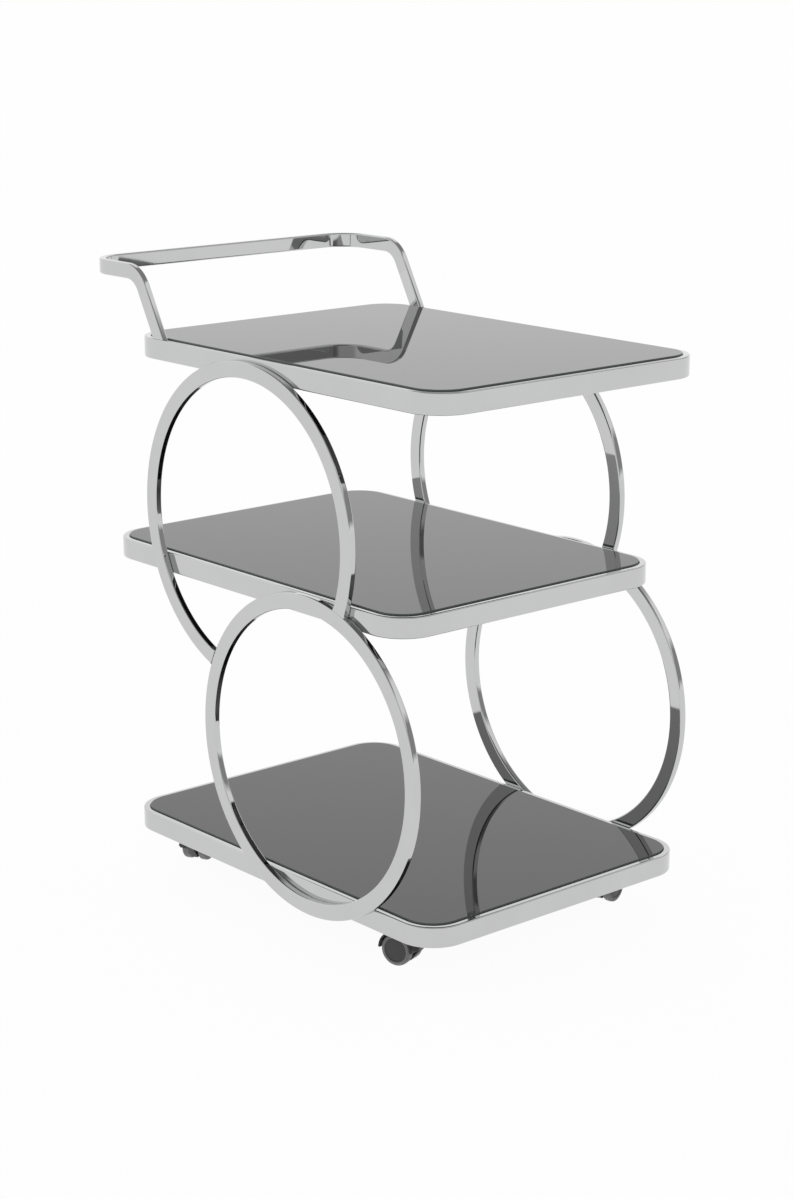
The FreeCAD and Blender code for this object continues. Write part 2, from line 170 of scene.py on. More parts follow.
def polished_chrome():
    """Chrome plate with a faint haze from hands and cloths, hairlines and a few pits."""
    finish, tone = new_finish("polished_chrome")
    haze = tone.ramp(tone.noise(7.0, 4.0, 0.6), 0.42, 0.78)
    hairs = tone.ramp(tone.noise(1.0, 3.0, 0.7, (60, 900, 900)), 0.62, 0.74)
    pits = tone.ramp(tone.noise(1400.0, 1.0), 0.76, 0.80)
    plate = tone.blend(haze, (0.565, 0.567, 0.570, 1), (0.530, 0.532, 0.535, 1))
    plate = tone.blend(pits * 0.4, plate, (0.30, 0.30, 0.30, 1))
    ripple = tone.bump(tone.noise(22.0, 1.0), 0.00004)
    lay_on(tone, {
        "Base Color": plate,
        "Metallic": 1.0,
        "Roughness": 0.022 + haze * 0.03 + hairs * 0.02,
        "Normal": tone.bump(hairs, 0.000001, ripple),
    })
    return finish


CHROME = polished_chrome()


def make_piece(bm, name, finish, body, replaced, sharp=None):
    """Turn a bmesh into a finished piece of the cart. Edges sharper than the angle stay crisp."""
    bmesh.ops.remove_doubles(bm, verts=bm.verts[:], dist=MERGE)
    bmesh.ops.recalc_face_normals(bm, faces=bm.faces[:])
    mesh = bpy.data.meshes.new(name)
    bm.to_mesh(mesh)
    bm.free()
    mesh.materials.append(finish)
    for face in mesh.polygons:
        face.use_smooth = True
    if sharp is not None:
        mesh.set_sharp_from_angle(angle=math.radians(sharp))
    piece = bpy.data.objects.new(name, mesh)
    bpy.context.scene.collection.objects.link(piece)
    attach(piece, body)
    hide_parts(*replaced)
    return piece


def laid(origin, side, across):
    """Matrix that takes X to side and Y to across, at origin."""
    turn = Matrix((side, across, side.cross(across))).transposed().to_4x4()
    return Matrix.Translation(Vector(origin)) @ turn


def tube_outline(bm, width, depth, edge, place):
    """Rounded rectangle of edges: width along the place's X, depth along its Y."""
    corners = bmesh.ops.create_grid(bm, x_segments=1, y_segments=1, size=0.5)["verts"]
    bmesh.ops.scale(bm, vec=(width, depth, 1), verts=corners)
    bmesh.ops.bevel(
        bm, geom=corners, offset=edge, offset_type="OFFSET", segments=EDGE_STEPS,
        profile=0.5, affect="VERTICES", material=-1,
    )
    bmesh.ops.delete(bm, geom=bm.faces[:], context="FACES_ONLY")
    for axis, half in ((X_AXIS, width / 2), (Y_AXIS, depth / 2)):
        for way in (-1, 1):
            reach = axis * (way * (half - edge - GUARD))
            bmesh.ops.bisect_plane(bm, geom=bm.verts[:] + bm.edges[:], plane_co=reach, plane_no=axis)
    bmesh.ops.transform(bm, matrix=place, verts=bm.verts[:])
    return bm.edges[:]


def run_tube(bm, outline, way):
    """Carry an outline straight on, and give its new end."""
    strip = way.normalized() * END_STRIP
    for step in (strip, way - 2 * strip, strip):
        made = bmesh.ops.extrude_edge_only(bm, edges=outline)["geom"]
        moved = {v for v in made if isinstance(v, bmesh.types.BMVert)}
        bmesh.ops.translate(bm, vec=step, verts=list(moved))
        outline = [e for e in made if isinstance(e, bmesh.types.BMEdge) and moved.issuperset(e.verts)]
    return outline


def bend_tube(bm, outline, centre, axis, angle, steps=BEND_STEPS):
    """Carry an outline round a bend, and give its new end."""
    made = bmesh.ops.spin(
        bm, geom=outline, cent=centre, axis=axis, dvec=(0, 0, 0), angle=angle, steps=steps,
        use_merge=False, use_normal_flip=False, use_duplicate=False,
    )
    return [e for e in made["geom_last"] if isinstance(e, bmesh.types.BMEdge)]


def shelf_frame(shelf):
    low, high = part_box(shelf + "_frame")
    middle_y = high.y - FRAME_THICK / 2
    side_y = high.y - FRAME_CORNER
    near_x, far_x = low.x + FRAME_CORNER, high.x - FRAME_CORNER
    start = Vector((near_x, -middle_y, (low.z + high.z) / 2))
    bm = bmesh.new()
    outline = tube_outline(bm, FRAME_TALL, FRAME_THICK, FRAME_EDGE, laid(start, Z_AXIS, Y_AXIS))
    for way, corner in (
        (X_AXIS * (far_x - near_x), (far_x, -side_y, 0)),
        (Y_AXIS * (2 * side_y), (far_x, side_y, 0)),
        (X_AXIS * (near_x - far_x), (near_x, side_y, 0)),
        (Y_AXIS * (-2 * side_y), (near_x, -side_y, 0)),
    ):
        outline = run_tube(bm, outline, way)
        outline = bend_tube(bm, outline, corner, Z_AXIS, math.pi / 2)
    make_piece(bm, shelf + "_frame_tube", CHROME, "cart", [shelf + "_frame"])


SHELVES = ("bottom", "middle", "top")
for shelf in SHELVES:
    shelf_frame(shelf)


# ---- Side rings ---------------------------------------------------------------------------
# Flat steel tube, 20 x 9 mm, rolled to a circle and chromed. The lower ring is whole. The upper
# one is an arc whose coped ends stand on the lower ring with a ground fillet of weld.
RING_WIDTH = 0.020
RING_DEPTH = 0.009
RING_EDGE = 0.0018
RING_STEPS = 192
RING_GAP = 0.0002        # the arc's ends stop this far off the lower ring
RING_WELD = 0.0010


def ring_outline(bm, centre, radius, middle_y):
    start = Vector((centre.x + radius - RING_WIDTH / 2, middle_y, centre.z))
    return tube_outline(bm, RING_WIDTH, RING_DEPTH, RING_EDGE, laid(start, X_AXIS, Y_AXIS))


def side_rings(side):
    low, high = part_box(side + "_lower_ring")
    lower = (low + high) / 2
    radius = (high.z - low.z) / 2
    bm = bmesh.new()
    outline = ring_outline(bm, lower, radius, lower.y)
    bmesh.ops.spin(
        bm, geom=outline, cent=lower, axis=Y_AXIS, dvec=(0, 0, 0), angle=2 * math.pi, steps=RING_STEPS,
        use_merge=True, use_normal_flip=False, use_duplicate=False,
    )
    make_piece(
        bm, side + "_lower_ring_tube", CHROME, "cart", [side + "_lower_ring"],
    )

    low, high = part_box(side + "_upper_ring")
    upper = Vector(((low.x + high.x) / 2, lower.y, high.z - radius))
    apart = lower - upper
    bearing = math.atan2(-apart.z, apart.x)      # about +Y, from +X
    stop = radius + RING_GAP

    def meeting(reach):
        """Half angle, about the upper centre, where a circle of that radius meets the lower ring."""
        return math.acos((reach ** 2 + apart.length ** 2 - stop ** 2) / (2 * reach * apart.length))

    half = meeting(radius - RING_WIDTH / 2)
    bm = bmesh.new()
    outline = ring_outline(bm, upper, radius, lower.y)
    bmesh.ops.rotate(bm, cent=upper, matrix=Matrix.Rotation(bearing + half, 3, "Y"), verts=bm.verts[:])
    first = set(bm.verts)
    last_edges = bend_tube(bm, outline, upper, Y_AXIS, 2 * (math.pi - half), RING_STEPS)
    last = {v for e in last_edges for v in e.verts}
    for ends, sign in ((first, 1), (last, -1)):
        for vert in ends:
            arm = vert.co - upper
            reach = math.hypot(arm.x, arm.z)
            swell = RING_WELD if reach > radius - RING_WIDTH / 2 else -RING_WELD
            angle = bearing + sign * meeting(reach + swell)
            vert.co.x = upper.x + (reach + swell) * math.cos(angle)
            vert.co.z = upper.z - (reach + swell) * math.sin(angle)
    bmesh.ops.holes_fill(bm, edges=[e for e in bm.edges if e.is_boundary])
    make_piece(
        bm, side + "_upper_ring_tube", CHROME, "cart", [side + "_upper_ring"], 50,
    )


for side in ("right", "left"):
    side_rings(side)


# ---- Push handle --------------------------------------------------------------------------
# One flat tube, 19 x 8.4 mm: two leaning legs, a knee at the top of each, a level run and a
# crossbar. The legs are mitred, stand on the top frame and are welded all round.
HANDLE_TALL = 0.019
HANDLE_DEEP = 0.0084
HANDLE_EDGE = 0.0018
HANDLE_LEAN = math.radians(61)
KNEE_BEND = 0.035        # on the tube's middle line
PLAN_BEND = 0.040
LEG_SPARE = 0.020        # cut off at the mitre
FOOT_WELD = 0.0010


def push_handle():
    low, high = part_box("push_handle")
    up = Vector((-math.cos(HANDLE_LEAN), 0, math.sin(HANDLE_LEAN)))
    square = Vector((math.sin(HANDLE_LEAN), 0, math.cos(HANDLE_LEAN)))
    middle_y = high.y - HANDLE_DEEP / 2
    level_z = high.z - HANDLE_TALL / 2
    foot = Vector((high.x - HANDLE_TALL / 2 / math.sin(HANDLE_LEAN), -middle_y, low.z))
    knee_tangent = KNEE_BEND * math.tan(HANDLE_LEAN / 2)
    rise = (level_z - low.z) / math.sin(HANDLE_LEAN)
    leg = up * (LEG_SPARE + rise - knee_tangent)
    knee_x = foot.x - rise * math.cos(HANDLE_LEAN) - knee_tangent
    turn_x = low.x + HANDLE_DEEP / 2 + PLAN_BEND
    turn_y = middle_y - PLAN_BEND
    knee = (knee_x, 0, level_z - KNEE_BEND)
    level = X_AXIS * (turn_x - knee_x)
    bm = bmesh.new()
    start = foot - up * LEG_SPARE
    outline = tube_outline(bm, HANDLE_TALL, HANDLE_DEEP, HANDLE_EDGE, laid(start, square, Y_AXIS))
    outline = run_tube(bm, outline, leg)
    outline = bend_tube(bm, outline, knee, Y_AXIS, -HANDLE_LEAN)
    outline = run_tube(bm, outline, level)
    outline = bend_tube(bm, outline, (turn_x, -turn_y, 0), Z_AXIS, -math.pi / 2)
    outline = run_tube(bm, outline, Y_AXIS * (2 * turn_y))
    outline = bend_tube(bm, outline, (turn_x, turn_y, 0), Z_AXIS, -math.pi / 2)
    outline = run_tube(bm, outline, -level)
    outline = bend_tube(bm, outline, knee, Y_AXIS, HANDLE_LEAN)
    run_tube(bm, outline, -leg)
    cut = Vector((0, 0, low.z + FOOT_WELD))
    everything = bm.verts[:] + bm.edges[:] + bm.faces[:]
    bmesh.ops.bisect_plane(bm, geom=everything, plane_co=cut, plane_no=Z_AXIS, clear_inner=True)
    rims = [e for e in bm.edges if e.is_boundary]
    made = bmesh.ops.extrude_edge_only(bm, edges=rims)["geom"]
    for vert in made:
        if isinstance(vert, bmesh.types.BMVert):
            side = math.copysign(middle_y, vert.co.y)
            vert.co.x += math.copysign(FOOT_WELD, vert.co.x - foot.x)
            inner = abs(vert.co.y) < middle_y
            vert.co.y += math.copysign(FOOT_WELD, -side) if inner else 0
            vert.co.z = low.z
    bmesh.ops.holes_fill(bm, edges=[e for e in bm.edges if e.is_boundary])
    make_piece(bm, "push_handle_tube", CHROME, "cart", ["push_handle"], 50)


push_handle()


# ---- Glass shelves ------------------------------------------------------------------------
# 5 mm tempered glass, lacquered black behind, with its arrises ground. It lies in the frame and
# stands a little above the rim.
GLASS_CORNER = 0.039
GLASS_CORNER_STEPS = 20
GLASS_ARRIS = 0.0007


def black_glass():
    """Deep gloss with a few wiped smears and dust; the ground arrises are greyer and dull."""
    finish, tone = new_finish("black_glass")
    facing = tone.node("ShaderNodeNewGeometry", output="Normal").part(2)
    ground = 1 - tone.ramp(tone.maths("ABSOLUTE", facing), 0.90, 0.985)
    smear = tone.ramp(tone.noise(2.4, 5.0, 0.62, (1.0, 2.6, 1.0)), 0.50, 0.72)
    dust = tone.ramp(tone.noise(1600.0, 1.0), 0.79, 0.83)
    body = tone.blend(smear, (0.0090, 0.0092, 0.0096, 1), (0.0125, 0.0127, 0.0130, 1))
    body = tone.blend(dust * 0.5, body, (0.12, 0.12, 0.12, 1))
    lay_on(tone, {
        "Base Color": tone.blend(ground, body, (0.10, 0.115, 0.11, 1)),
        "Roughness": 0.012 + smear * 0.018 + dust * 0.2 + ground * 0.3,
        "IOR": 1.52,
    })
    return finish


BLACK_GLASS = black_glass()


def glass_shelf(shelf):
    low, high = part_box(shelf + "_glass")
    size = high - low
    bm = bmesh.new()
    corners = bmesh.ops.create_grid(bm, x_segments=1, y_segments=1, size=0.5)["verts"]
    bmesh.ops.scale(bm, vec=(size.x, size.y, 1), verts=corners)
    bmesh.ops.bevel(
        bm, geom=corners, offset=GLASS_CORNER, offset_type="OFFSET", segments=GLASS_CORNER_STEPS,
        profile=0.5, affect="VERTICES", material=-1,
    )
    bmesh.ops.translate(bm, vec=Vector(((low.x + high.x) / 2, 0, low.z)), verts=bm.verts[:])
    made = bmesh.ops.extrude_face_region(bm, geom=bm.faces[:])["geom"]
    top_verts = [v for v in made if isinstance(v, bmesh.types.BMVert)]
    bmesh.ops.translate(bm, vec=(0, 0, size.z), verts=top_verts)
    rims = [e for e in bm.edges if abs(e.verts[0].co.z - e.verts[1].co.z) < size.z / 2]
    bmesh.ops.bevel(
        bm, geom=rims, offset=GLASS_ARRIS, offset_type="OFFSET", segments=2,
        profile=0.5, affect="EDGES", material=-1,
    )
    make_piece(bm, shelf + "_glass_panel", BLACK_GLASS, "cart", [shelf + "_glass"], 20)


for shelf in SHELVES:
    glass_shelf(shelf)


# ---- Glass tabs and pads ------------------------------------------------------------------
# Angle tabs folded from 3 mm strip are welded inside each frame, and a clear silicone disc on
# each tab carries the glass.
TAB_THICK = 0.003
TAB_LONG = 0.024
TAB_REACH = 0.022
TAB_DROP = 0.012
TAB_FOLD = 0.0032        # radius of the fold, outside and inside
TAB_FOLD_INSIDE = 0.0008
TAB_ARRIS = 0.0003
CRISP = math.radians(60)
TAB_ALONG = (0.105, 0.42, 0.895)
TAB_ACROSS = 0.100
PAD_RADIUS = 0.007
PAD_THICK = 0.0015
PAD_ARRIS = 0.0003


def zinc_steel():
    """Bright zinc plate: mottled grey spangle with fine drawing marks."""
    finish, tone = new_finish("zinc_steel")
    cells = tone.node("ShaderNodeTexVoronoi", None, {"Vector": tone.place(), "Scale": 260.0}, "Distance")
    mottle = tone.noise(90.0, 4.0, 0.6)
    marks = tone.noise(1.0, 2.0, 0.6, (120, 1500, 1500))
    plate = tone.blend(mottle, (0.50, 0.51, 0.53, 1), (0.64, 0.65, 0.66, 1))
    lay_on(tone, {
        "Base Color": tone.blend(cells * 0.5, plate, (0.42, 0.43, 0.45, 1)),
        "Metallic": 1.0,
        "Roughness": 0.27 + mottle * 0.14 + cells * 0.08,
        "Normal": tone.bump(marks, 0.000004),
    })
    return finish


def clear_silicone():
    finish, tone = new_finish("clear_silicone")
    cloud = tone.noise(300.0, 3.0)
    lay_on(tone, {
        "Base Color": tone.blend(cloud, (0.62, 0.63, 0.62, 1), (0.74, 0.75, 0.74, 1)),
        "Roughness": 0.32 + cloud * 0.2,
        "Transmission Weight": 0.35,
        "Normal": tone.bump(tone.noise(2500.0, 1.0), 0.000008),
    })
    return finish


ZINC = zinc_steel()
SILICONE = clear_silicone()


def bare_mesh(bm):
    """Keep a bmesh as a mesh that can be stamped out in several places."""
    bmesh.ops.remove_doubles(bm, verts=bm.verts[:], dist=MERGE)
    bmesh.ops.recalc_face_normals(bm, faces=bm.faces[:])
    mesh = bpy.data.meshes.new("pattern")
    bm.to_mesh(mesh)
    bm.free()
    return mesh


def stamped(mesh, places):
    """A bmesh with a copy of the mesh at each place."""
    bm = bmesh.new()
    for place in places:
        copy = mesh.copy()
        copy.transform(place)
        bm.from_mesh(copy)
        bpy.data.meshes.remove(copy)
    return bm


def moved_verts(made):
    return [v for v in made["geom"] if isinstance(v, bmesh.types.BMVert)]


def folded_tab():
    """Angle tab: X inwards from the frame's wall, Y along it, top face at z = 0."""
    corners = [(0, -TAB_DROP), (TAB_THICK, -TAB_DROP), (TAB_THICK, -TAB_THICK)]
    corners += [(TAB_REACH, -TAB_THICK), (TAB_REACH, 0), (0, 0)]
    bm = bmesh.new()
    verts = [bm.verts.new((x, -TAB_LONG / 2, z)) for x, z in corners]
    bm.faces.new(verts)
    for vert, fold in ((verts[5], TAB_FOLD), (verts[2], TAB_FOLD_INSIDE)):
        bmesh.ops.bevel(
            bm, geom=[vert], offset=fold, offset_type="OFFSET", segments=6,
            profile=0.5, affect="VERTICES", material=-1,
        )
    made = bmesh.ops.extrude_face_region(bm, geom=bm.faces[:])
    bmesh.ops.translate(bm, vec=(0, TAB_LONG, 0), verts=moved_verts(made))
    bmesh.ops.recalc_face_normals(bm, faces=bm.faces[:])
    crisp = [e for e in bm.edges if e.calc_face_angle(0) > CRISP]
    bmesh.ops.bevel(
        bm, geom=crisp, offset=TAB_ARRIS, offset_type="OFFSET", segments=2,
        profile=0.5, affect="EDGES", material=-1,
    )
    return bare_mesh(bm)


def turned(bm, profile, rounding, segments=96):
    """Turn a profile of (radius, height) about Z, with every corner rounded over."""
    verts = [bm.verts.new((radius, 0, height)) for radius, height in profile]
    edges = [bm.edges.new(pair) for pair in zip(verts, verts[1:])]
    if profile[0][0] > 0:
        edges.append(bm.edges.new((verts[-1], verts[0])))
    corners = [v for v in verts if len(v.link_edges) == 2]
    bmesh.ops.bevel(
        bm, geom=corners, offset=rounding, offset_type="OFFSET", segments=3,
        profile=0.5, affect="VERTICES", material=-1,
    )
    bmesh.ops.spin(
        bm, geom=bm.verts[:] + bm.edges[:], cent=(0, 0, 0), axis=Z_AXIS, dvec=(0, 0, 0),
        angle=2 * math.pi, steps=segments, use_merge=True, use_normal_flip=False, use_duplicate=False,
    )


def pad_disc():
    bm = bmesh.new()
    turned(bm, [(0, 0), (PAD_RADIUS, 0), (PAD_RADIUS, PAD_THICK), (0, PAD_THICK)], PAD_ARRIS, 40)
    return bare_mesh(bm)


def tab_places(shelf):
    """Each tab's corner on the wall, as a matrix with X pointing inwards."""
    low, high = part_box(shelf + "_frame")
    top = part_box(shelf + "_glass_pads")[0].z
    wall_y = high.y - FRAME_THICK
    places = []
    for side in (-1, 1):
        for share in TAB_ALONG:
            along = low.x + share * (high.x - low.x)
            places.append(laid((along, side * wall_y, top), Y_AXIS * -side, X_AXIS * side))
        places.append(laid((low.x + FRAME_THICK, side * TAB_ACROSS, top), X_AXIS, Y_AXIS))
        places.append(laid((high.x - FRAME_THICK, side * TAB_ACROSS, top), X_AXIS * -1, Y_AXIS * -1))
    return places


TAB = folded_tab()
PAD = pad_disc()
ON_TAB = Matrix.Translation(((TAB_REACH + TAB_THICK) / 2, 0, 0))
for shelf in SHELVES:
    places = tab_places(shelf)
    make_piece(
        stamped(TAB, places), shelf + "_folded_tabs", ZINC, "cart",
        [shelf + "_glass_tabs"], 40,
    )
    make_piece(
        stamped(PAD, [place @ ON_TAB for place in places]), shelf + "_silicone_pads", SILICONE,
        "cart", [shelf + "_glass_pads"], 40,
    )


# ---- Screws, rails, sockets and stems -----------------------------------------------------
# Button-head screws and washers hold the frames to the rings from inside. Flat bars welded
# across the bottom frame carry a socket for each castor's grip stem. All of it is zinc plated.
ZINC_NODES = ["ring_screws", "ring_washers", "caster_sockets"]
ZINC_NODES += ["front_caster_rail", "rear_caster_rail"]
CASTERS = ("front_right", "front_left", "rear_right", "rear_left")
for caster in CASTERS:
    ZINC_NODES += [caster + "_stem", caster + "_axle"]
for node in ZINC_NODES:
    mesh = frame["nodes"][node].data
    mesh.materials.clear()
    mesh.materials.append(ZINC)


# ---- Castor hoods -------------------------------------------------------------------------
# Each is one black nylon moulding: a canopy over both wheels, a nose that sweeps up to the boss
# round the stem, and a middle web that holds the axle.
TRAIL = 0.022            # axle behind the stem
WHEEL_RADIUS = 0.020
CANOPY_HALF = 0.0176
CANOPY_WALL = 0.0025
WHEEL_GAP = 0.0013
WEB_HALF = 0.0046
WEB_RADIUS = 0.013
WEB_FOOT = (-0.008, 0.0055)
BOSS_RADIUS = 0.013
BOSS_TOP = 0.051
NECK_RADIUS = 0.009
NECK_LOW = 0.040
NECK_TOP = 0.0575
STEM_RADIUS = 0.0043     # the stem's bore
STEM_BOTTOM = 0.029
STEM_SPARE = 0.07        # the bore's cutter ends above the neck
WELL_SPARE = 0.01        # the wheel wells' cutters end outside the canopy
SET_IN = 0.001           # nose and web stop this far inside the canopy
WEB_TOP = BOSS_TOP - 0.004
NOSE_ANGLES = [math.radians(a) for a in range(-90, 91, 10)]
NOSE_LOW = 0.036
NOSE_TOE = 0.009
TOE_LOW = 0.025
TOE_HALF = 0.0155
HOOD_VOXEL = 0.0006


def black_nylon():
    """Moulded nylon with a fine spark grain, scuffed grey in places."""
    finish, tone = new_finish("black_nylon")
    grain = tone.noise(2600.0, 2.0, 0.6)
    scuff = tone.ramp(tone.noise(95.0, 5.0, 0.7), 0.60, 0.76)
    body = tone.blend(scuff, (0.006, 0.006, 0.0064, 1), (0.018, 0.018, 0.018, 1))
    lay_on(tone, {
        "Base Color": body,
        "Roughness": 0.42 + scuff * 0.2,
        "Normal": tone.bump(grain, 0.00003),
    })
    return finish


BLACK_NYLON = black_nylon()
AXLE = Matrix.Translation((-TRAIL, 0, WHEEL_RADIUS))
AXLE_ALONG_Y = AXLE @ Matrix.Rotation(math.radians(-90), 4, "X")


def drum(bm, radius, low, high, place, segments=72):
    """Closed round bar between two heights, then put in place."""
    made = bmesh.ops.create_cone(
        bm, cap_ends=True, segments=segments, radius1=radius, radius2=radius, depth=high - low,
    )["verts"]
    bmesh.ops.translate(bm, vec=(0, 0, (low + high) / 2), verts=made)
    bmesh.ops.transform(bm, matrix=place, verts=made)
    return made


def hull(bm, points):
    verts = [bm.verts.new(point) for point in points]
    made = bmesh.ops.convex_hull(bm, input=verts)
    unused = made["geom_interior"] + made["geom_unused"]
    spare = {v for v in unused if isinstance(v, bmesh.types.BMVert)}
    bmesh.ops.delete(bm, geom=list(spare), context="VERTS")


def mirrored(points):
    return points + [(x, -y, z) for x, y, z in points]


def applied(mesh, changes):
    """Mesh after a few modifiers, each a kind and its settings."""
    carrier = bpy.data.objects.new("carrier", mesh)
    bpy.context.scene.collection.objects.link(carrier)
    for kind, settings in changes:
        change = carrier.modifiers.new(kind.lower(), kind)
        for name, value in settings.items():
            setattr(change, name, value)
    changed = carrier.evaluated_get(bpy.context.evaluated_depsgraph_get())
    result = bpy.data.meshes.new_from_object(changed)
    bpy.data.objects.remove(carrier)
    return result


def moulded_hood():
    canopy = WHEEL_RADIUS + WHEEL_GAP + CANOPY_WALL
    bm = bmesh.new()
    drum(bm, canopy, -CANOPY_HALF, CANOPY_HALF, AXLE_ALONG_Y)
    everything = bm.verts[:] + bm.edges[:] + bm.faces[:]
    cut = bmesh.ops.bisect_plane(
        bm, geom=everything, plane_co=(0, 0, WHEEL_RADIUS), plane_no=Z_AXIS, clear_inner=True,
    )["geom_cut"]
    bmesh.ops.contextual_create(bm, geom=[e for e in cut if isinstance(e, bmesh.types.BMEdge)])
    rim = [(BOSS_RADIUS * math.cos(a), BOSS_RADIUS * math.sin(a)) for a in NOSE_ANGLES]
    nose = [(x, y, BOSS_TOP) for x, y in rim] + [(x, y, NOSE_LOW) for x, y in rim]
    nose += [(NOSE_TOE, y, TOE_LOW) for y in (0, TOE_HALF)]
    nose += [(-TRAIL, CANOPY_HALF, WHEEL_RADIUS)]
    nose += [(-TRAIL, CANOPY_HALF - SET_IN, WHEEL_RADIUS + canopy)]
    hull(bm, mirrored(nose))
    web = [(-TRAIL, WEB_HALF, WHEEL_RADIUS - WEB_RADIUS), (WEB_FOOT[0], WEB_HALF, WEB_FOOT[1])]
    web += [(NOSE_TOE, WEB_HALF, TOE_LOW), (NOSE_TOE, WEB_HALF, WEB_TOP)]
    web += [(-TRAIL, WEB_HALF, WHEEL_RADIUS + canopy - SET_IN)]
    hull(bm, mirrored(web))
    drum(bm, WEB_RADIUS, -WEB_HALF, WEB_HALF, AXLE_ALONG_Y)
    drum(bm, NECK_RADIUS, NECK_LOW, NECK_TOP, Matrix.Identity(4))
    body = applied(bare_mesh(bm), [
        ("REMESH", {"mode": "VOXEL", "voxel_size": HOOD_VOXEL}),
        ("SMOOTH", {"factor": 0.5, "iterations": 6}),
    ])
    bm = bmesh.new()
    for way in (-1, 1):
        near, far = sorted((way * WEB_HALF, way * (CANOPY_HALF + WELL_SPARE)))
        drum(bm, WHEEL_RADIUS + WHEEL_GAP, near, far, AXLE_ALONG_Y, 128)
    drum(bm, STEM_RADIUS, STEM_BOTTOM, STEM_SPARE, Matrix.Identity(4), 48)
    wells = bpy.data.objects.new("wells", bare_mesh(bm))
    bpy.context.scene.collection.objects.link(wells)
    hood = applied(body, [("BOOLEAN", {"operation": "DIFFERENCE", "object": wells, "solver": "EXACT"})])
    bpy.data.objects.remove(wells)
    return hood


HOOD = moulded_hood()
caster_places = {}
for caster in CASTERS:
    turn = next(j for j in frame["joints"] if j["name"] == caster + "_swivel_turn")
    spin = next(j for j in frame["joints"] if j["name"] == caster + "_outer_wheel_spin")
    stem = Vector(turn["pos_m"])
    ahead = stem - Vector(spin["pos_m"])
    ahead.z = 0
    ahead.normalize()
    caster_places[caster] = laid((stem.x, stem.y, 0), ahead, Z_AXIS.cross(ahead))
    make_piece(
        stamped(HOOD, [caster_places[caster]]), caster + "_moulded_hood", BLACK_NYLON,
        caster + "_swivel", [caster + "_hood"], 42,
    )


# ---- Castor wheels ------------------------------------------------------------------------
# Twin wheels: a soft grey polyurethane tyre moulded on a dark nylon centre, whose outer face is
# a plain shallow dome inside a raised ring.
WHEEL_IN = 0.0053        # inner and outer faces from the castor's middle
WHEEL_OUT = 0.0168
HUB_RADIUS = 0.015
SHOULDER = 0.0026
AXLE_BORE = 0.0026
PARTING = 0.0001         # height of the mould line round the tread
TYRE_INSET = 0.0004      # the tyre's inner face stands back from the centre's
TYRE_ROUNDING = 0.00045
SAG = SHOULDER * 0.3     # the shoulder's middle, in from both faces
CENTRE_ROUNDING = 0.00025
CORE_OUT = 0.0157        # outer end of the bore, under the cover
CORE_RADIUS = 0.006
RIM_BACK = 0.0012        # the rim's back stands in from the core's
RIM_PROUD = 0.0002       # the raised ring round the cover
RIM_LAND = 0.0012
RIM_FALL = 0.0018
GROOVE_DEPTH = 0.0005
COVER_EDGE = 0.0040
COVER_SINK = 0.0002
DOME = 0.0004


def grey_tread():
    """Polyurethane tread: scuffed, a little dirty where it rolls, with a fine matt grain."""
    finish, tone = new_finish("grey_tread")
    dirt = tone.ramp(tone.noise(140.0, 5.0, 0.68), 0.42, 0.72)
    flecks = tone.ramp(tone.noise(1500.0, 2.0), 0.62, 0.70)
    body = tone.blend(dirt, (0.165, 0.165, 0.165, 1), (0.115, 0.115, 0.114, 1))
    body = tone.blend(flecks * 0.4, body, (0.075, 0.075, 0.075, 1))
    lay_on(tone, {
        "Base Color": body,
        "Roughness": 0.50 + dirt * 0.22,
        "Normal": tone.bump(tone.noise(1800.0, 3.0, 0.6), 0.00004),
    })
    return finish


def hub_plastic():
    """Dark grey moulded nylon, satin, with faint swirl from the gate and rubbed patches."""
    finish, tone = new_finish("hub_plastic")
    swirl = tone.noise(60.0, 4.0, 0.65)
    rubbed = tone.ramp(tone.noise(220.0, 4.0, 0.6), 0.58, 0.72)
    body = tone.blend(swirl, (0.022, 0.022, 0.023, 1), (0.036, 0.036, 0.037, 1))
    lay_on(tone, {
        "Base Color": tone.blend(rubbed * 0.6, body, (0.060, 0.060, 0.060, 1)),
        "Roughness": 0.38 + rubbed * 0.18,
        "Normal": tone.bump(tone.noise(2200.0, 2.0), 0.00002),
    })
    return finish


TREAD = grey_tread()
HUB = hub_plastic()


def tyre():
    """Tyre on the +Z side of the castor's middle, axle on Z."""
    inner = WHEEL_IN + TYRE_INSET
    middle = (inner + WHEEL_OUT) / 2
    face = WHEEL_RADIUS - PARTING
    bm = bmesh.new()
    turned(bm, [
        (HUB_RADIUS, inner),
        (WHEEL_RADIUS - SHOULDER, inner),
        (WHEEL_RADIUS - SAG, inner + SAG),
        (face, inner + SHOULDER),
        (face, middle - 2 * PARTING),
        (WHEEL_RADIUS, middle - PARTING),
        (WHEEL_RADIUS, middle + PARTING),
        (face, middle + 2 * PARTING),
        (face, WHEEL_OUT - SHOULDER),
        (WHEEL_RADIUS - SAG, WHEEL_OUT - SAG),
        (WHEEL_RADIUS - SHOULDER, WHEEL_OUT),
        (HUB_RADIUS, WHEEL_OUT),
    ], TYRE_ROUNDING, 128)
    return bare_mesh(bm)


